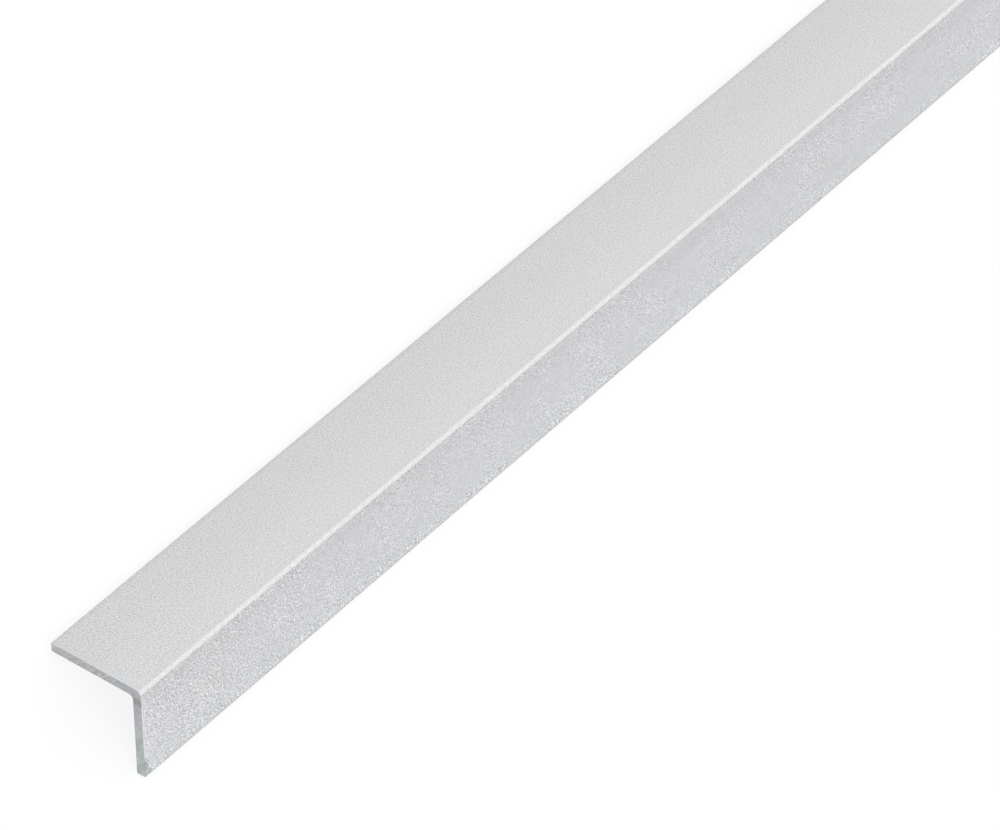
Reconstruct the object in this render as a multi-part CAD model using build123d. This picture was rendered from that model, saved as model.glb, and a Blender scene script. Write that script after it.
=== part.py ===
from build123d import *
import os
from math import sqrt

# Equal-leg angle section: one straight length of zinc-coated steel, formed to a right
# angle and cut square at both ends. All sizes are in millimetres.
#
# It lies as it comes to rest on a level floor: ridge up, like a roof, with both toes
# down. The length runs along X, the ridge is above Y = 0 and the toes touch Z = 0.
# The origin is the middle of the footprint.

# Driving dimensions
stock_length = 1000.0
leg_width = 20.0            # sharp outer corner to toe, the same on both legs
wall_thickness = 2.0
outer_bend_radius = 1.4     # tighter than a free bend, because the rolls set the corner
inner_bend_radius = 0.8
toe_outer_radius = 0.25     # slitting rolls the outer edge of each toe over
toe_inner_radius = 0.15     # and leaves the inner edge nearly sharp
cut_edge_break = 0.12       # deburred arris round each cut end

# Turns the section from legs along the axes to ridge up, with each leg at 45 degrees.
ridge_up_turn = -135.0


def corner_at(profile, x, y):
    """The vertex of the section nearest to a point of its plane."""
    return profile.vertices().sort_by_distance((x, y, 0))[0]


def section_blank():
    """Sharp-cornered section: outer corner at the origin, one leg along each axis."""
    flat_leg = Rectangle(leg_width, wall_thickness, align=Align.MIN)
    upright_leg = Rectangle(wall_thickness, leg_width, align=Align.MIN)
    return flat_leg + upright_leg


def formed_section():
    """The section with its bend set outside and inside, and the edges of its toes eased."""
    rounded_corners = [
        (0, 0, outer_bend_radius),
        (wall_thickness, wall_thickness, inner_bend_radius),
        (leg_width, 0, toe_outer_radius),
        (0, leg_width, toe_outer_radius),
        (leg_width, wall_thickness, toe_inner_radius),
        (wall_thickness, leg_width, toe_inner_radius),
    ]
    profile = section_blank()
    for x, y, radius in rounded_corners:
        profile = fillet(corner_at(profile, x, y), radius)
    return profile


def ridge_height():
    """Height of the sharp outer corner above the floor that both eased toes touch."""
    sharp_reach = leg_width + wall_thickness
    lost_to_toe_radius = (2 - sqrt(2)) * toe_inner_radius
    return (sharp_reach - lost_to_toe_radius) / sqrt(2)


def rolled_length():
    """The section ridge up across the Y-Z plane, run out equally along -X and +X."""
    section = Plane.YZ * Pos(0, ridge_height()) * Rot(0, 0, ridge_up_turn) * formed_section()
    return extrude(section, amount=stock_length / 2, both=True)


def angle_section():
    """The finished length, with the sharp arris taken off round both cut ends."""
    bar = rolled_length()
    cut_ends = bar.faces().filter_by(Axis.X)
    return chamfer(cut_ends.edges(), cut_edge_break)


os.makedirs("parts", exist_ok=True)
export_step(angle_section(), "parts/angle_section.step")
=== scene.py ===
import math
from dataclasses import dataclass
from itertools import pairwise
import bpy
from mathutils import Matrix, Vector, noise


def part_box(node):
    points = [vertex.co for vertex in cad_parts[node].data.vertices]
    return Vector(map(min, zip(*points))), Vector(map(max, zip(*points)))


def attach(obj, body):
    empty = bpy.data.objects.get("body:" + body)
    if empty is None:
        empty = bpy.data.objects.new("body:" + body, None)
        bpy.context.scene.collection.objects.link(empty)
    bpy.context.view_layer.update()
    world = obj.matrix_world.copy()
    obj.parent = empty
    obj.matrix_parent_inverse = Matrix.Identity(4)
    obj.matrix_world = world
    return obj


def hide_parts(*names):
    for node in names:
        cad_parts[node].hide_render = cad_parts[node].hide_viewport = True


# A length of equal-leg angle in zinc-coated steel, lying ridge up on a pale floor.
# The piece is one mesh: the section is swept along X, coarsely between the ends and
# finely near them, where the cut faces, their eased edges and a chip are modelled.
# Places on the section are (u, v): u runs from the sharp outer corner along leg A (+Y
# side), v along leg B (-Y side). The photo's near end is the one at -X. Everything is
# in metres, except that the finish is laid out in millimetres.

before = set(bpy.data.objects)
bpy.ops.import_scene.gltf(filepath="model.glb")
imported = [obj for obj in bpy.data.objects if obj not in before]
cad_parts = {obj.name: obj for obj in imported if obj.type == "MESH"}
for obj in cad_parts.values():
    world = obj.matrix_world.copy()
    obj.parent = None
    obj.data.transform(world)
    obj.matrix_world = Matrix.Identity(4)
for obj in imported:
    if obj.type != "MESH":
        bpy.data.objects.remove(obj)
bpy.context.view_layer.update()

MM = 0.001
SLANT = math.sqrt(0.5)      # what each unit down a leg drops, and reaches sideways
NODE = "angle_section"

# Section, as in the part's source
LEG = 20.0 * MM
WALL = 2.0 * MM
OUTER_BEND = 1.4 * MM
INNER_BEND = 0.8 * MM
TOE_OUTER = 0.25 * MM
TOE_INNER = 0.15 * MM
CUT_BREAK = 0.12 * MM

# Mesh density
FLAT_STEPS = 26             # lengthwise edges kept along each flat, closest at its ends
FINE_CELL = 0.22 * MM       # widest cell across a flat near the cut ends
BEND_STEPS = 18
TOE_ARC_STEPS = 3
TOE_FLAT_STEPS = 7
ARRIS_STEPS = 4
END_LENGTH = 4.5 * MM       # of the fine part at each end
END_STEP = 0.12 * MM        # its first step along X, beside the cut
END_STEP_GROWTH = 1.15
END_STEP_LIMIT = 0.5 * MM
MIDDLE_STEP = 2.5 * MM

# Relief, always into the metal, so that the mesh stays inside the solid's box. A pitch
# is the length over which a relief changes.
ROLL_WAVE = 0.02 * MM       # shallow unevenness of the rolled faces
ROLL_PITCH_ALONG = 28.0 * MM
ROLL_PITCH_ACROSS = 9.0 * MM
SLIT_WAVE = 0.06 * MM       # raggedness of the slit toes
SLIT_PITCH_ALONG = 3.1 * MM
SLIT_PITCH_THROUGH = 2.0 * MM
SLIT_REACH = 3.0 * MM       # up the leg, to where the raggedness has faded out
SAW_RADIUS = 125.0 * MM     # of the blade whose arcs mark the cut ends
SAW_DEPTH = 0.02 * MM
SAW_PITCH = 0.42 * MM
SAW_STROKE = 7.0 * MM       # along an arc
BROAD_SAW_PITCH = 4 * SAW_PITCH
BROAD_SAW_STROKE = 11.0 * MM
BROAD_SAW_SHARE = 0.8       # of the fine marks' depth
ARRIS_PITCH = 1.1 * MM
ARRIS_LOSS = 0.3            # share of the broken edge's radius that comes and goes
BURNISH = (33, 40, 65, 71)  # degrees round the bend from leg A: the rolls' polish
CHIP_LENGTH = 2.0 * MM      # of the chip in the coat at leg B's near corner
CHIP_HEIGHT = 6.0 * MM
CHIP_DEPTH = 0.08 * MM
CHIP_PITCH = 0.4 * MM       # of its ragged outline
CHIP_RAGGEDNESS = 0.5
CHIP_STEEPNESS = 2.5

low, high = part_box(NODE)
ridge_z = high.z + (math.sqrt(2) - 1) * OUTER_BEND      # the sharp outer corner


@dataclass
class Spot:
    """A point of the section's outline and the direction out of the metal there."""
    u: float
    v: float
    out_u: float
    out_v: float
    kept: bool = True           # also in the coarse section used between the ends
    bend: float = 0.0           # 1 on the burnished line
    toe: float = 0.0            # 1 on the slit edge of a toe

    def mirrored(self):
        return Spot(self.v, self.u, self.out_v, self.out_u, self.kept, self.bend, self.toe)


def smooth(t):
    """0 below 0, 1 above 1, and an even slope between."""
    t = min(max(t, 0.0), 1.0)
    return t * t * (3 - 2 * t)


def plateau(t, start, full, last, stop):
    """0 up to start, 1 from full to last, and 0 again from stop on."""
    return smooth((t - start) / (full - start)) * smooth((stop - t) / (stop - last))


def wander(x, y, z):
    """Fixed noise from 0 to 1 that changes over about one unit."""
    return 0.5 + 0.5 * noise.noise(Vector((x, y, z)))


def quarter_turn(steps):
    """(turn, its sine, its cosine) at even steps from 0 to 90 degrees, both included."""
    for k in range(steps + 1):
        turn = math.pi / 2 * k / steps
        yield turn, math.sin(turn), math.cos(turn)


def to_space(x, u, v):
    return Vector((x, (u - v) * SLANT, ridge_z - (u + v) * SLANT))


def to_section(point):
    """The (u, v) of a point in space."""
    drop = (ridge_z - point.z) * SLANT
    side = point.y * SLANT
    return drop + side, drop - side


# ---------------------------------------------------------------- section

def flat_shares(length):
    """(share of a flat from toe to bend, kept): kept ones crowd towards both its ends."""
    kept = [(1 - math.cos(math.pi * i / FLAT_STEPS)) / 2 for i in range(FLAT_STEPS + 1)]
    shares = []
    for start, stop in pairwise(kept):
        parts = math.ceil((stop - start) * length / FINE_CELL)
        shares += [(start + (stop - start) * k / parts, k == 0) for k in range(parts)]
    return shares


def flat_columns():
    """Pairs of spots, outer face and inner face, from leg A's toe up to its bend."""
    outer_flat = LEG - TOE_OUTER - OUTER_BEND
    inner_flat = LEG - TOE_INNER - WALL - INNER_BEND
    columns = []
    for share, kept in flat_shares(outer_flat):
        outer = Spot(LEG - TOE_OUTER - share * outer_flat, 0, 0, -1, kept)
        inner = Spot(LEG - TOE_INNER - share * inner_flat, WALL, 0, 1, kept)
        columns.append((outer, inner))
    return columns


def bend_columns():
    """Pairs of spots round the bend, from leg A's flat to leg B's."""
    columns = []
    inner_centre = WALL + INNER_BEND
    for turn, s, c in quarter_turn(BEND_STEPS):
        burnished = plateau(math.degrees(turn), *BURNISH)
        outer = Spot(OUTER_BEND * (1 - s), OUTER_BEND * (1 - c), -s, -c, bend=burnished)
        inner = Spot(inner_centre - INNER_BEND * s, inner_centre - INNER_BEND * c, s, c)
        columns.append((outer, inner))
    return columns


def toe_spots():
    """Leg A's toe from its outer face round to its inner face, both ends included."""
    spots = []
    for turn, s, c in quarter_turn(TOE_ARC_STEPS):
        spots.append(Spot(LEG - TOE_OUTER * (1 - s), TOE_OUTER * (1 - c), s, -c, toe=s))
    flat = WALL - TOE_OUTER - TOE_INNER
    for k in range(1, TOE_FLAT_STEPS):
        spots.append(Spot(LEG, TOE_OUTER + flat * k / TOE_FLAT_STEPS, 1, 0, toe=1.0))
    for turn, s, c in quarter_turn(TOE_ARC_STEPS):
        spots.append(Spot(LEG - TOE_INNER * (1 - c), WALL - TOE_INNER * (1 - s), c, s, toe=c))
    return spots


FLAT_A = flat_columns()
FLAT_B = [(outer.mirrored(), inner.mirrored()) for outer, inner in reversed(FLAT_A)]
COLUMNS = FLAT_A + bend_columns() + FLAT_B
TOE_A = toe_spots()
TOE_B = [spot.mirrored() for spot in TOE_A]
RING = (
    [outer for outer, inner in COLUMNS]
    + TOE_B[1:-1]
    + [inner for outer, inner in reversed(COLUMNS)]
    + TOE_A[-2:0:-1]
)


# ---------------------------------------------------------------- relief

def roll_depth(x, spot):
    """How far the rolled surface lies inside the plain section."""
    u, v = spot.u / ROLL_PITCH_ACROSS, spot.v / ROLL_PITCH_ACROSS
    return ROLL_WAVE * wander(x / ROLL_PITCH_ALONG, u, v)


def slit_slip(x, spot):
    """How far the ragged slitting sets a toe back along its leg."""
    down_leg, through = max(spot.u, spot.v), min(spot.u, spot.v)
    near_toe = smooth((down_leg - LEG + SLIT_REACH) / SLIT_REACH)
    seed = 4 if spot.u > spot.v else 9      # the two toes differ
    ragged = wander(x / SLIT_PITCH_ALONG, through / SLIT_PITCH_THROUGH, seed)
    return SLIT_WAVE * near_toe * ragged


def chipped(x, spot):
    """How much of the coat is off: 1 within a wedge at leg B's near corner, 0 outside it."""
    if spot.u > WALL or spot.v < LEG / 2:
        return 0.0
    from_end = (x - low.x) / CHIP_LENGTH
    up_leg = (LEG - spot.v) / CHIP_HEIGHT
    ragged = CHIP_RAGGEDNESS * (wander(x / CHIP_PITCH, spot.v / CHIP_PITCH, 2.0) - 0.5)
    wedge = smooth(CHIP_STEEPNESS * (1 + ragged - from_end - up_leg))
    # Full as far as a quarter of the wall, and gone by three quarters
    return wedge * smooth((0.75 * WALL - spot.u) / (0.5 * WALL))


def saw_depth(u, v, sign):
    """Depth of the saw's marks, whose arcs cross both legs at about 45 degrees.

    The sign is 1 at the near end and -1 at the far one, which keeps their marks different.
    """
    sideways = (u - v) * SLANT
    drop = (u + v) * SLANT
    across = sideways + sign * drop * drop / (2 * SAW_RADIUS)
    fine = wander(across / SAW_PITCH, drop / SAW_STROKE, 3.7 * sign)
    broad = wander(across / BROAD_SAW_PITCH, drop / BROAD_SAW_STROKE, 8.1 * sign)
    return SAW_DEPTH * (fine + BROAD_SAW_SHARE * broad)


def arris_radius(x, spot):
    """The deburred edge is a little uneven round each cut end."""
    uneven = wander(spot.u / ARRIS_PITCH, spot.v / ARRIS_PITCH, x)
    return CUT_BREAK * (1 - ARRIS_LOSS + ARRIS_LOSS * uneven)


# ---------------------------------------------------------------- mesh

MASKS = ("cut", "chip", "arris", "bend", "toe")     # where each finish shows, 0 to 1


class Sweep:
    """Collects the vertices, their masks and the faces of the piece."""

    def __init__(self):
        self.points = []
        self.faces = []
        self.masks = {name: [] for name in MASKS}

    def vertex(self, x, u, v, **masks):
        self.points.append(to_space(x, u, v))
        for name in MASKS:
            self.masks[name].append(masks.get(name, 0.0))
        return len(self.points) - 1

    def on_outline(self, x, spot, inset=0.0, push=0.0, cut=0.0, arris=0.0):
        """A vertex on the outline at x, set into the metal, then pushed along X."""
        chip = chipped(x, spot)
        slip = slit_slip(x, spot)
        depth = inset + roll_depth(x, spot)
        u = spot.u - spot.out_u * depth + CHIP_DEPTH * chip
        v = spot.v - spot.out_v * depth
        if spot.u > spot.v:
            u -= slip
        else:
            v -= slip
        return self.vertex(
            x + push, u, v, cut=cut, chip=chip, arris=arris, bend=spot.bend, toe=spot.toe,
        )

    def ring(self, x, spots):
        return [self.on_outline(x, spot) for spot in spots]

    def band(self, near, far):
        """Quads between two rings of the same count, the first one further towards -X."""
        for k in range(len(near)):
            self.faces.append((near[k - 1], near[k], far[k], far[k - 1]))

    def seam(self, fine, coarse, flip):
        """Faces between a fine ring and the coarse one that keeps some of its spots."""
        kept = [k for k, spot in enumerate(RING) if spot.kept]
        count = len(fine)
        for n in range(len(kept)):
            start, stop = kept[n - 1], kept[n]
            if n == 0:
                stop += count
            run = [fine[k % count] for k in range(start, stop + 1)]
            face = run + [coarse[n], coarse[n - 1]]
            self.faces.append(tuple(reversed(face)) if flip else tuple(face))

    def arris(self, end_x, sign):
        """Rings round one eased cut edge, from the full section down to the cut face.

        The bare steel's mask rises over the middle of the edge, where the arris's peaks.
        """
        rings = []
        for turn, s, c in quarter_turn(ARRIS_STEPS):
            share = turn / (math.pi / 2)
            ring = []
            for spot in RING:
                radius = arris_radius(end_x, spot)
                ring.append(self.on_outline(
                    end_x + sign * radius * (1 - s), spot,
                    inset=radius * (1 - c),
                    push=sign * s * saw_depth(spot.u, spot.v, sign),
                    cut=smooth(2 * share - 0.5),
                    arris=math.sin(turn * 2),
                ))
            rings.append(ring)
        return rings

    def cut_face(self, end_x, sign, edge):
        """The grid of the cut face inside its edge ring, with the saw's marks."""
        wall_steps = len(TOE_A) - 1
        last = len(COLUMNS) - 1
        # Where the edge ring has the inner spot of each column
        opposite = [2 * last + len(TOE_B) - 1 - k for k in range(last + 1)]
        toe_a = [edge[0]] + edge[:opposite[0]:-1] + [edge[opposite[0]]]
        toe_b = edge[last:opposite[last] + 1]
        grid = [toe_a]
        for k in range(1, last):
            start, stop = self.points[edge[k]], self.points[edge[opposite[k]]]
            column = [edge[k]]
            for j in range(1, wall_steps):
                u, v = to_section(start.lerp(stop, j / wall_steps))
                x = end_x + sign * saw_depth(u, v, sign)
                column.append(self.vertex(x, u, v, cut=1.0))
            grid.append(column + [edge[opposite[k]]])
        grid.append(toe_b)
        for left, right in pairwise(grid):
            for j in range(wall_steps):
                face = (left[j], left[j + 1], right[j + 1], right[j])
                self.faces.append(face if sign > 0 else tuple(reversed(face)))

    def end(self, end_x, sign):
        """One end of the stock. Gives the x where the coarse part starts, and the last ring."""
        rings = self.arris(end_x, sign)
        self.cut_face(end_x, sign, rings[-1])
        rings.reverse()
        offset, step = CUT_BREAK, END_STEP
        while offset < END_LENGTH:
            offset += step
            step = min(step * END_STEP_GROWTH, END_STEP_LIMIT)
            rings.append(self.ring(end_x + sign * offset, RING))
        for outer, inner in pairwise(rings):
            near, far = (outer, inner) if sign > 0 else (inner, outer)
            self.band(near, far)
        return end_x + sign * (offset + step), rings[-1]

    def whole(self):
        """Both ends, and the coarse length between them."""
        start, near_fine = self.end(low.x, 1)
        stop, far_fine = self.end(high.x, -1)
        spots = [spot for spot in RING if spot.kept]
        count = round((stop - start) / MIDDLE_STEP)
        rings = [
            self.ring(start + (stop - start) * k / count, spots) for k in range(count + 1)
        ]
        self.seam(near_fine, rings[0], False)
        for near, far in pairwise(rings):
            self.band(near, far)
        self.seam(far_fine, rings[-1], True)


def add_object(name, data):
    thing = bpy.data.objects.new(name, data)
    bpy.context.scene.collection.objects.link(thing)
    return thing


def make_piece():
    sweep = Sweep()
    sweep.whole()
    mesh = bpy.data.meshes.new("angle_stock")
    mesh.from_pydata(sweep.points, [], sweep.faces)
    mesh.polygons.foreach_set("use_smooth", [True] * len(mesh.polygons))
    for name, values in sweep.masks.items():
        mesh.attributes.new(name, "FLOAT", "POINT").data.foreach_set("value", values)
    mesh.update()
    return add_object("angle_stock", mesh)


# ---------------------------------------------------------------- shader nodes

class Nodes:
    """Short forms for building a node tree. A value is a socket or a plain number."""

    def __init__(self, tree):
        self.tree = tree
        tree.nodes.clear()

    def add(self, kind, inputs=(), **settings):
        node = self.tree.nodes.new(kind)
        for name, value in settings.items():
            setattr(node, name, value)
        for name, value in dict(inputs).items():
            self.feed(node.inputs[name], value)
        return node

    def feed(self, socket, value):
        if isinstance(value, bpy.types.NodeSocket):
            self.tree.links.new(value, socket)
        else:
            socket.default_value = value

    def math(self, operation, a, b=0.0, clamp=False):
        inputs = {0: a, 1: b}
        return self.add("ShaderNodeMath", inputs, operation=operation, use_clamp=clamp).outputs[0]

    def total(self, first, *others):
        for other in others:
            first = self.math("ADD", first, other)
        return first

    def product(self, first, *others):
        for other in others:
            first = self.math("MULTIPLY", first, other)
        return first

    def difference(self, a, b):
        return self.math("SUBTRACT", a, b)

    def unsigned(self, value):
        return self.math("ABSOLUTE", value)

    def swing(self, value):
        """A value from 0 to 1 turned into a swing about zero."""
        return self.difference(value, 0.5)

    def vector(self, x=0.0, y=0.0, z=0.0):
        return self.add("ShaderNodeCombineXYZ", {"X": x, "Y": y, "Z": z}).outputs[0]

    def scaled(self, vector, factor):
        node = self.add("ShaderNodeVectorMath", {0: vector}, operation="SCALE")
        self.feed(node.inputs["Scale"], factor)
        return node.outputs[0]

    def noise(self, vector, per_mm, detail, roughness=0.5):
        inputs = {"Vector": vector, "Scale": per_mm, "Detail": detail, "Roughness": roughness}
        return self.add("ShaderNodeTexNoise", inputs).outputs["Fac"]

    def drawn_noise(self, lengths, per_mm, detail, roughness=0.5):
        """Noise drawn out: each of up to three lengths has its own cells per millimetre."""
        axes = [self.product(length, cells) for length, cells in zip(lengths, per_mm)]
        return self.noise(self.vector(*axes), 1.0, detail, roughness)

    def crystals(self, vector, per_mm):
        """Distance from the middle of each of a layer of small even cells."""
        inputs = {"Vector": vector, "Scale": per_mm, "Randomness": 0.8}
        node = self.add("ShaderNodeTexVoronoi", inputs, voronoi_dimensions="2D")
        return node.outputs["Distance"]

    def mask(self, name):
        return self.add("ShaderNodeAttribute", attribute_name=name).outputs["Fac"]

    def pick(self, factor, a, b):
        """A plain value: a where the factor is 0, b where it is 1."""
        node = self.add("ShaderNodeMix", data_type="FLOAT")
        self.feed(node.inputs[0], factor)
        self.feed(node.inputs[2], a)
        self.feed(node.inputs[3], b)
        return node.outputs[0]

    def blend(self, factor, a, b):
        """A colour: a where the factor is 0, b where it is 1."""
        node = self.add("ShaderNodeMix", data_type="RGBA")
        self.feed(node.inputs[0], factor)
        self.feed(node.inputs[6], a)
        self.feed(node.inputs[7], b)
        return node.outputs[2]

    def span(self, value, low_in, high_in, low_out=0.0, high_out=1.0):
        """The value's range mapped to another one, smoothly and clamped."""
        inputs = {"From Min": low_in, "From Max": high_in, "To Min": low_out, "To Max": high_out}
        node = self.add("ShaderNodeMapRange", inputs, interpolation_type="SMOOTHSTEP")
        self.feed(node.inputs["Value"], value)
        return node.outputs["Result"]

    def ramp(self, value, start, stop, change):
        """0 up to start, then a smooth change that is complete at stop."""
        return self.span(value, start, stop, 0.0, change)

    def plateau(self, value, start, full, last, stop, height=1.0):
        """0 up to start, the height from full to last, and 0 again from stop on."""
        return self.product(self.span(value, start, full), self.span(value, stop, last), height)


def new_material(name):
    """A material without nodes, and the short forms to build them."""
    material = bpy.data.materials.new(name)
    material.use_nodes = True
    return material, Nodes(material.node_tree)


# ---------------------------------------------------------------- studio

# The camera was fitted to the stock's outline in the photo.
CAMERA_AZIMUTH = -103.41        # degrees
CAMERA_ELEVATION = 53.16
CAMERA_ROLL = -66.29
CAMERA_DISTANCE = 1311.6 * MM
AIM_ALONG = 96.87 * MM          # from the near end
AIM_DOWN = 5.93 * MM            # down leg B from the sharp corner
CAMERA_LENS = 269.2             # millimetres, as its sensor
CAMERA_SENSOR = 36.0
CAMERA_CLIP = (0.05, 60.0)

FLOOR_REACH = 15.0
FLOOR_COLOUR = (0.8, 0.8, 0.8, 1)           # as the object sees it
FLOOR_SEEN = (0.2, 0.2, 0.2, 1)             # as the camera sees it, with a faint shadow,
FLOOR_GLOW = 0.82                           # and with this glow added to make it white
WHITE = (1, 1, 1, 1)
SKY_LIGHT = 0.85
SKY_SEEN = 1.0
SOFTBOX_SIZE = (3.4, 2.0)
SOFTBOX_PLACE = (0.3, -0.7, 1.2)
SOFTBOX_POWER = 5.0


def make_camera():
    azimuth = math.radians(CAMERA_AZIMUTH)
    elevation = math.radians(CAMERA_ELEVATION)
    roll = math.radians(CAMERA_ROLL)
    aim = to_space(low.x + AIM_ALONG, 0, AIM_DOWN)
    back = Vector((
        math.sin(azimuth) * math.cos(elevation),
        -math.cos(azimuth) * math.cos(elevation),
        math.sin(elevation),
    ))
    level_right = Vector((0, 0, 1)).cross(back).normalized()
    level_up = back.cross(level_right)
    up = level_up * math.cos(roll) + level_right * math.sin(roll)
    right = up.cross(back)
    data = bpy.data.cameras.new("camera")
    data.sensor_width = CAMERA_SENSOR
    data.lens = CAMERA_LENS
    data.clip_start, data.clip_end = CAMERA_CLIP
    camera = add_object("camera", data)
    turn = Matrix((right, up, back)).transposed().to_4x4()
    camera.matrix_world = Matrix.Translation(aim + back * CAMERA_DISTANCE) @ turn
    bpy.context.scene.camera = camera


def seen_directly(nodes):
    """1 for what the camera sees, straight on or in metal or glass, and 0 for other light."""
    path = nodes.add("ShaderNodeLightPath")
    seen = nodes.math("ADD", path.outputs["Is Camera Ray"], path.outputs["Is Glossy Ray"])
    return nodes.math("ADD", seen, path.outputs["Is Transmission Ray"], clamp=True)


def make_floor():
    """A pale floor that renders white, with the object's soft shadow still on it."""
    corners = [(-1, -1, 0), (1, -1, 0), (1, 1, 0), (-1, 1, 0)]
    mesh = bpy.data.meshes.new("floor")
    mesh.from_pydata([Vector(corner) * FLOOR_REACH for corner in corners], [], [(0, 1, 2, 3)])
    material, nodes = new_material("floor_white")
    plain = nodes.add("ShaderNodeBsdfDiffuse", {"Color": FLOOR_COLOUR})
    faint = nodes.add("ShaderNodeBsdfDiffuse", {"Color": FLOOR_SEEN})
    glow = nodes.add("ShaderNodeEmission", {"Color": WHITE, "Strength": FLOOR_GLOW})
    seen = nodes.add("ShaderNodeAddShader", {0: faint.outputs[0], 1: glow.outputs[0]})
    mixed = nodes.add(
        "ShaderNodeMixShader",
        {0: seen_directly(nodes), 1: plain.outputs[0], 2: seen.outputs[0]},
    )
    nodes.add("ShaderNodeOutputMaterial", {"Surface": mixed.outputs[0]})
    mesh.materials.append(material)
    floor = add_object("floor", mesh)


def make_world():
    world = bpy.data.worlds.new("studio")
    world.use_nodes = True
    nodes = Nodes(world.node_tree)
    strength = nodes.span(seen_directly(nodes), 0, 1, SKY_LIGHT, SKY_SEEN)
    sky = nodes.add("ShaderNodeBackground", {"Color": WHITE, "Strength": strength})
    nodes.add("ShaderNodeOutputWorld", {"Surface": sky.outputs[0]})
    bpy.context.scene.world = world


def make_softbox():
    """A long strip overhead, which draws the bright line along the bend."""
    data = bpy.data.lights.new("softbox", "AREA")
    data.shape = "RECTANGLE"
    data.size, data.size_y = SOFTBOX_SIZE
    data.energy = SOFTBOX_POWER
    lamp = add_object("softbox", data)
    lamp.location = SOFTBOX_PLACE
    lamp.visible_camera = False


# ---------------------------------------------------------------- finish

# Lengths are in millimetres from here on, colours are linear, and changes of tone are
# shares of them. Unless said otherwise, a place is sideways of the ridge: above 0 on leg
# A and below 0 on leg B. The tuples hold what Nodes takes: (from, to) or (from, to, value
# up to there, value from there on) for span, (from, to, change) for ramp, and (start,
# full, last, stop, height) for plateau. A pair of shares or levels is for leg A and leg B.

LEG_B_SIDE = (0.3, -0.3)                    # where leg A's finish turns into leg B's


class Place:
    """Where a point lies on the piece, as sockets."""

    def __init__(self, nodes):
        here = nodes.add("ShaderNodeTexCoord").outputs["Object"]
        self.mm = nodes.scaled(here, 1 / MM)
        parts = nodes.add("ShaderNodeSeparateXYZ", {0: self.mm}).outputs
        self.along = parts["X"]
        self.from_near = nodes.difference(self.along, low.x / MM)
        self.from_end = nodes.difference(high.x / MM, nodes.unsigned(self.along))
        self.sideways = parts["Y"]
        self.from_ridge = nodes.unsigned(self.sideways)
        self.on_leg_b = nodes.span(self.sideways, *LEG_B_SIDE)
        self.drop = nodes.difference(ridge_z / MM, parts["Z"])
        self.down_leg_b = nodes.product(nodes.difference(self.drop, self.sideways), SLANT)
        self.into_wall = nodes.product(nodes.difference(self.drop, self.from_ridge), SLANT)
        self.on_face = nodes.vector(self.along, nodes.product(self.sideways, math.sqrt(2)))


# The coat's grain has three layers: crystals, lumps, and specks where its noise peaks.
CRYSTALS_PER_MM = (3.5, 2.9)                # two layers, one taken from the other
CRYSTAL_SHARES = (0.40, 0.50)
LUMPS_PER_MM = 2.5
LUMP_SHARES = (0.15, 1.15)
SPECKS_PER_MM = 2.8
SPECK_PEAKS = (0.6, 0.75)
SPECK_SHARES = (0.04, 0.35)

GRAIN_A = (5.0, 60.0, 1.03, 0.83)           # from the near end
GRAIN_B = (0.0, 80.0, 1.5, 0.85)
LOWER_B = (12.2, 13.0)                      # from the ridge
LOWER_B_GRAIN = 1.6
TOE_GRAIN = (13.3, 13.8, 1.0, 0.6)
PATCHES_PER_MM = 0.11
PATCH_GRAIN = (0.38, 0.62, 0.6, 1.3)
PATCHINESS = (20.0, 80.0, 0.4, 1.0)         # from the near end


def coat_grain(nodes, place):
    """Fine and even on leg A, coarser and patchy on leg B, and fading along the stock."""
    finer, coarser = (nodes.crystals(place.on_face, per_mm) for per_mm in CRYSTALS_PER_MM)
    crystals = nodes.difference(finer, coarser)
    lumps = nodes.swing(nodes.noise(place.mm, LUMPS_PER_MM, detail=3.0, roughness=0.75))
    specks = nodes.span(nodes.noise(place.mm, SPECKS_PER_MM, detail=1.0), *SPECK_PEAKS)
    layers = (crystals, CRYSTAL_SHARES), (lumps, LUMP_SHARES), (specks, SPECK_SHARES)
    mixed = nodes.total(*(
        nodes.product(layer, nodes.pick(place.on_leg_b, *shares)) for layer, shares in layers
    ))
    patch_noise = nodes.noise(place.mm, PATCHES_PER_MM, detail=2.0)
    patches = nodes.pick(
        nodes.span(place.from_near, *PATCHINESS), 1.0, nodes.span(patch_noise, *PATCH_GRAIN)
    )
    on_a = nodes.span(place.from_near, *GRAIN_A)
    on_b = nodes.pick(
        nodes.span(place.from_ridge, *LOWER_B),
        nodes.span(place.from_near, *GRAIN_B),
        LOWER_B_GRAIN,
    )
    on_b = nodes.product(on_b, nodes.span(place.from_ridge, *TOE_GRAIN), patches)
    return nodes.product(mixed, nodes.pick(place.on_leg_b, on_a, on_b))


# Painted shade: the coat darker along both toes.
PAINTED_TOE_SHADE_A = (13.2, 13.9, -0.065)
PAINTED_TOE_SHADE_B = (-13.4, -13.9, -0.09)
PAINTED_LIGHT_A_TO_BEND = (12.0, 1.0, 0.06)           # painted light, lighter towards the bend, and it stays so on leg B
# Painted shade: leg B darker towards the bend, with a lighter strip just beside it.
PAINTED_SHADE_B_TO_BEND = ((-5.5, -2.6, -0.03), (-2.7, -1.9, -0.025), (-1.7, -1.15, 0.03))
LEG_B_TO_NEAR_END = (6.0, 1.0, 0.03)        # from the near end
PAINTED_SHADE_A_BESIDE_BEND = (-0.1, 0.2, 0.55, 1.0, -0.042)  # painted shade on leg A's side of the burnished line
PAINTED_SHADE_B_BESIDE_BEND = (-1.0, -0.75, -0.65, -0.5, -0.08)       # painted shade on leg B's side
MOTTLE_PER_MM = 0.5
MOTTLE = 0.16                               # on leg B only
CLOUDS_PER_MM = 0.05
CLOUDS = 0.02


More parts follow.
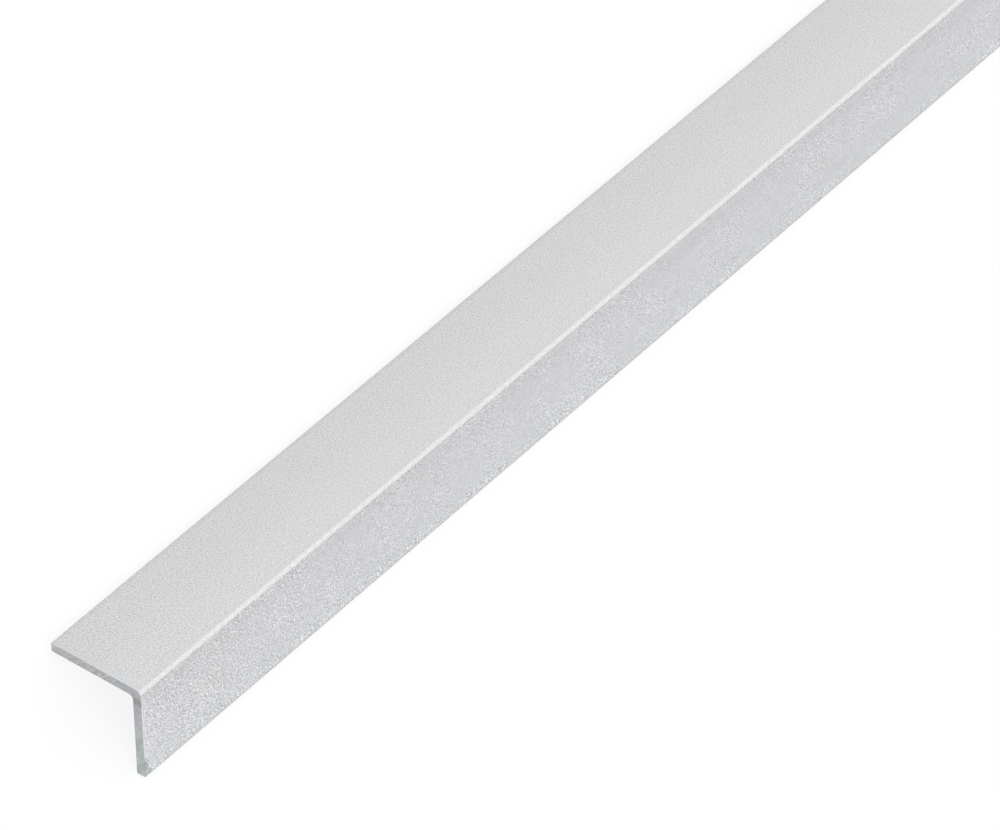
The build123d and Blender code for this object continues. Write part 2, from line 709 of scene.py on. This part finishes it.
def coat_tone(nodes, place):
    """Slow changes of tone: painted light and shade towards the bend and the toes, and the coat's
    own faint clouds and mottle.
    """
    side = place.sideways
    leg_b = [nodes.ramp(side, *ramp) for ramp in PAINTED_SHADE_B_TO_BEND]
    leg_b.append(nodes.ramp(place.from_near, *LEG_B_TO_NEAR_END))
    mottle = nodes.swing(nodes.noise(place.mm, MOTTLE_PER_MM, detail=2.0))
    leg_b.append(nodes.product(mottle, MOTTLE))
    clouds = nodes.swing(nodes.noise(place.mm, CLOUDS_PER_MM, detail=2.0))
    return nodes.total(
        nodes.product(nodes.total(*leg_b), place.on_leg_b),
        nodes.product(clouds, CLOUDS),
        nodes.ramp(side, *PAINTED_TOE_SHADE_A),
        nodes.ramp(side, *PAINTED_TOE_SHADE_B),
        nodes.ramp(side, *PAINTED_LIGHT_A_TO_BEND),
        nodes.plateau(side, *PAINTED_SHADE_A_BESIDE_BEND),
        nodes.plateau(side, *PAINTED_SHADE_B_BESIDE_BEND),
    )


ZINC_A = (0.668, 0.668, 0.669, 1)
ZINC_A_AT_CUT = (0.650, 0.668, 0.690, 1)
# Leg B's colours are painted shade: darker and bluer than leg A's, and darker still towards its
# toe.
ZINC_B_WITH_PAINTED_SHADE = (0.617, 0.617, 0.632, 1)
ZINC_LOWER_B_WITH_PAINTED_SHADE = (0.601, 0.611, 0.625, 1)
TOWARDS_TOE_B = (-9.0, -12.5)
TOWARDS_CUT = (1.8, 0.5)                    # from the nearer end
CUT_BLUSH_PER_MM = 0.16
CUT_BLUSH = (0.4, 0.6)
CALM_AT_CUT = 0.4                           # share of the grain left beside a cut
CALM_FROM = 0.2                             # from the nearer end
CALM_TO = (1.0, 0.4)                        # on leg A and on leg B


def zinc_coat(nodes, place):
    """Colour of the matt zinc, bluer in patches beside a cut, and its grain. Leg B's colour is
    painted shade: darker and bluer than leg A's, and darker still towards its toe.
    """
    blush = nodes.product(
        nodes.span(place.from_end, *TOWARDS_CUT),
        nodes.span(nodes.noise(place.mm, CUT_BLUSH_PER_MM, detail=1.0), *CUT_BLUSH),
    )
    tint = nodes.blend(
        place.on_leg_b,
        nodes.blend(blush, ZINC_A, ZINC_A_AT_CUT),
        nodes.blend(nodes.span(place.sideways, *TOWARDS_TOE_B), ZINC_B_WITH_PAINTED_SHADE, ZINC_LOWER_B_WITH_PAINTED_SHADE),
    )
    grain = coat_grain(nodes, place)
    calm_to = nodes.pick(place.on_leg_b, *CALM_TO)
    calm = nodes.span(place.from_end, CALM_FROM, calm_to, CALM_AT_CUT, 1.0)
    light = nodes.total(1.0, nodes.product(grain, calm), coat_tone(nodes, place))
    return nodes.scaled(tint, light), grain


BURNISHED = (0.675, 0.675, 0.675)
BURNISH_COVER = 0.85
BURNISH_TO_LEG_B = (-0.15, -0.35, 1.0, 0.97)
HIGHLIGHT_LINE_SPACING = 0.34                          # between the two painted highlight lines in the burnished one
PAINTED_HIGHLIGHT_LINES = 0.06
ROLLED_PER_MM = (0.9, 3.6)                  # along the stock and sideways
ROLLED = 0.5
GLINTS_PER_MM = (2.6, 10.4)
GLINTS = 0.7


def burnished_zinc(nodes, place):
    """Colour of the line that the rolls polished along the bend, with painted highlight lines and
    painted glints in it.
    """
    lengths = (place.along, place.sideways)
    rolled = nodes.swing(nodes.drawn_noise(lengths, ROLLED_PER_MM, detail=2.0))
    glints = nodes.swing(nodes.drawn_noise(lengths, GLINTS_PER_MM, detail=1.0))
    painted_highlight_lines = nodes.math("COSINE", nodes.product(place.sideways, math.tau / HIGHLIGHT_LINE_SPACING))
    polish = nodes.total(
        nodes.span(place.sideways, *BURNISH_TO_LEG_B),
        nodes.product(rolled, ROLLED),
        nodes.product(glints, GLINTS),
        nodes.product(painted_highlight_lines, PAINTED_HIGHLIGHT_LINES),
    )
    return nodes.scaled(BURNISHED, polish)


STEEL_TINT_A = (0.978, 1.0, 1.03, 1)
STEEL_TINT_MID_A = (0.99, 1.0, 1.0, 1)
STEEL_TINT_B = (0.993, 1.0, 1.045, 1)
STEEL_TINT_LOWER_B = (0.945, 1.0, 1.01, 1)
STEEL_LEVELS = (0.472, 0.440)
STEEL_TOE_A = (9.0, 12.0, 0.021)
MID_A = (2.0, 4.0, 10.0, 11.5)              # where the saw's strokes show most
# These run down leg B from the sharp corner
STEEL_DOWN_B = (3.0, 9.0, 0.053)
ON_CUT_B = (1.6, 2.6)
ON_LOWER_B = (6.0, 10.0)
STAIN = (1.6, 2.5, 3.0, 4.0, -0.27)
# The saw's marks: across its arcs, down the face and along the stock
SAW_MARKS_PER_MM = (6.0, 0.35, 1.0)
SAW_MARKS = 0.4
SAW_STROKES_PER_MM = (2.6, 0.3, 0.7)
SAW_STROKES = 0.35
SAW_STROKES_MID_A = 0.9
BLOTCHES_PER_MM = 0.7
BLOTCHES = 0.5


def cut_steel(nodes, place):
    """Colour and marks of the sawn ends, with a dark stain on leg B under the bend."""
    bow = nodes.product(place.drop, place.drop, MM / (2 * SAW_RADIUS))
    lengths = (nodes.total(place.sideways, bow), place.drop, place.along)
    marks = nodes.drawn_noise(lengths, SAW_MARKS_PER_MM, detail=3.0, roughness=0.6)
    strokes = nodes.drawn_noise(lengths, SAW_STROKES_PER_MM, detail=1.0)
    blotches = nodes.noise(place.mm, BLOTCHES_PER_MM, detail=2.0)
    on_leg_b = nodes.span(place.down_leg_b, *ON_CUT_B)
    mid_a = nodes.plateau(place.sideways, *MID_A)
    level = nodes.total(
        nodes.pick(on_leg_b, *STEEL_LEVELS),
        nodes.ramp(place.sideways, *STEEL_TOE_A),
        nodes.ramp(place.down_leg_b, *STEEL_DOWN_B),
    )
    light = nodes.total(
        1.0,
        nodes.product(nodes.swing(marks), SAW_MARKS),
        nodes.product(nodes.swing(strokes), nodes.pick(mid_a, SAW_STROKES, SAW_STROKES_MID_A)),
        nodes.product(nodes.swing(blotches), BLOTCHES),
        nodes.plateau(place.down_leg_b, *STAIN),
    )
    lower_b = nodes.span(place.down_leg_b, *ON_LOWER_B)
    tint = nodes.blend(
        on_leg_b,
        nodes.blend(mid_a, STEEL_TINT_A, STEEL_TINT_MID_A),
        nodes.blend(lower_b, STEEL_TINT_B, STEEL_TINT_LOWER_B),
    )
    return nodes.scaled(tint, nodes.product(level, light)), marks


SHEARED = (0.50, 0.505, 0.515, 1)
TORN = (0.40, 0.405, 0.405, 1)
TORN_FROM = (0.75, 0.95)                    # into the wall from the outer face
TEAR_PER_MM = 0.25
TEAR_WANDER = 0.9
STREAKS_PER_MM = (0.08, 4.0, 0.3)           # along the stock, into the wall and sideways
STREAK_SHARES = (0.7, 0.25)                 # where it is sheared and where it is torn
CRUMBS_PER_MM = 2.2
CRUMB_SHARES = (0.3, 1.0)


def slit_edge(nodes, place):
    """Colour of the slit toes: a sheared band beside the outer face, then a torn one."""
    lengths = (place.along, place.into_wall, place.sideways)
    streaks = nodes.drawn_noise(lengths, STREAKS_PER_MM, detail=3.0, roughness=0.6)
    crumbs = nodes.noise(place.mm, CRUMBS_PER_MM, detail=3.0, roughness=0.7)
    tear = nodes.swing(nodes.noise(place.mm, TEAR_PER_MM, detail=3.0))
    depth = nodes.total(place.into_wall, nodes.product(tear, TEAR_WANDER))
    torn = nodes.span(depth, *TORN_FROM)
    light = nodes.total(
        1.0,
        nodes.product(nodes.swing(streaks), nodes.pick(torn, *STREAK_SHARES)),
        nodes.product(nodes.swing(crumbs), nodes.pick(torn, *CRUMB_SHARES)),
    )
    return nodes.scaled(nodes.blend(torn, SHEARED, TORN), light)


# The eased cut edges are lighter: partly their polish, partly a painted highlight along them.
ARRIS_POLISH_AND_HIGHLIGHT_A = (0.74, 0.74, 0.76, 1)
ARRIS_POLISH_AND_HIGHLIGHT_B = (0.88, 0.88, 0.93, 1)
ARRIS_TO_B = (-1.0, -2.0)
ARRIS_AT_CHIP = (0.6, 0.0)                  # by how much of the coat is off
PITS_PER_MM = 1.9
PITS = (0.35, 0.6, 0.62, 1.12)              # in the chip's bare floor
COAT_ROUGHNESS = 0.42
GRAIN_ROUGHNESS = 0.2
BURNISHED_ROUGHNESS = 0.17
BARE_ROUGHNESS = 0.45
BUMP_HEIGHT = 0.02 * MM                     # in metres, as the bump takes it
BUMP = 0.5
BURNISHED_BUMP = 0.05


def zinc_coated_steel():
    material, nodes = new_material("zinc_coat")
    place = Place(nodes)
    cut, chip, arris, bend, toe = (nodes.mask(name) for name in MASKS)
    coat, grain = zinc_coat(nodes, place)
    steel, marks = cut_steel(nodes, place)
    pits = nodes.span(nodes.noise(place.mm, PITS_PER_MM, detail=2.0), *PITS)
    steel = nodes.scaled(steel, nodes.pick(chip, 1.0, pits))
    bare = nodes.math("MAXIMUM", cut, chip)
    arris = nodes.product(arris, nodes.span(chip, *ARRIS_AT_CHIP))
    arris_polish_and_highlight = nodes.blend(nodes.span(place.sideways, *ARRIS_TO_B), ARRIS_POLISH_AND_HIGHLIGHT_A, ARRIS_POLISH_AND_HIGHLIGHT_B)

    colour = nodes.blend(nodes.product(bend, BURNISH_COVER), coat, burnished_zinc(nodes, place))
    colour = nodes.blend(toe, colour, slit_edge(nodes, place))
    colour = nodes.blend(bare, colour, steel)
    colour = nodes.blend(arris, colour, arris_polish_and_highlight)

    roughness = nodes.total(COAT_ROUGHNESS, nodes.product(grain, GRAIN_ROUGHNESS))
    roughness = nodes.pick(bend, roughness, BURNISHED_ROUGHNESS)
    roughness = nodes.pick(bare, roughness, BARE_ROUGHNESS)
    bump = nodes.add(
        "ShaderNodeBump",
        {
            "Height": nodes.pick(bare, grain, marks),
            "Strength": nodes.pick(bend, BUMP, BURNISHED_BUMP),
            "Distance": BUMP_HEIGHT,
        },
    )
    shader = nodes.add(
        "ShaderNodeBsdfPrincipled",
        {"Base Color": colour, "Metallic": 1.0, "Roughness": roughness, "Normal": bump.outputs[0]},
    )
    nodes.add("ShaderNodeOutputMaterial", {"Surface": shader.outputs[0]})
    return material


make_camera()
make_floor()
make_world()
make_softbox()
piece = make_piece()
piece.data.materials.append(zinc_coated_steel())
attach(piece, "root")
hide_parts(NODE)
bpy.context.scene.view_settings.view_transform = "Standard"
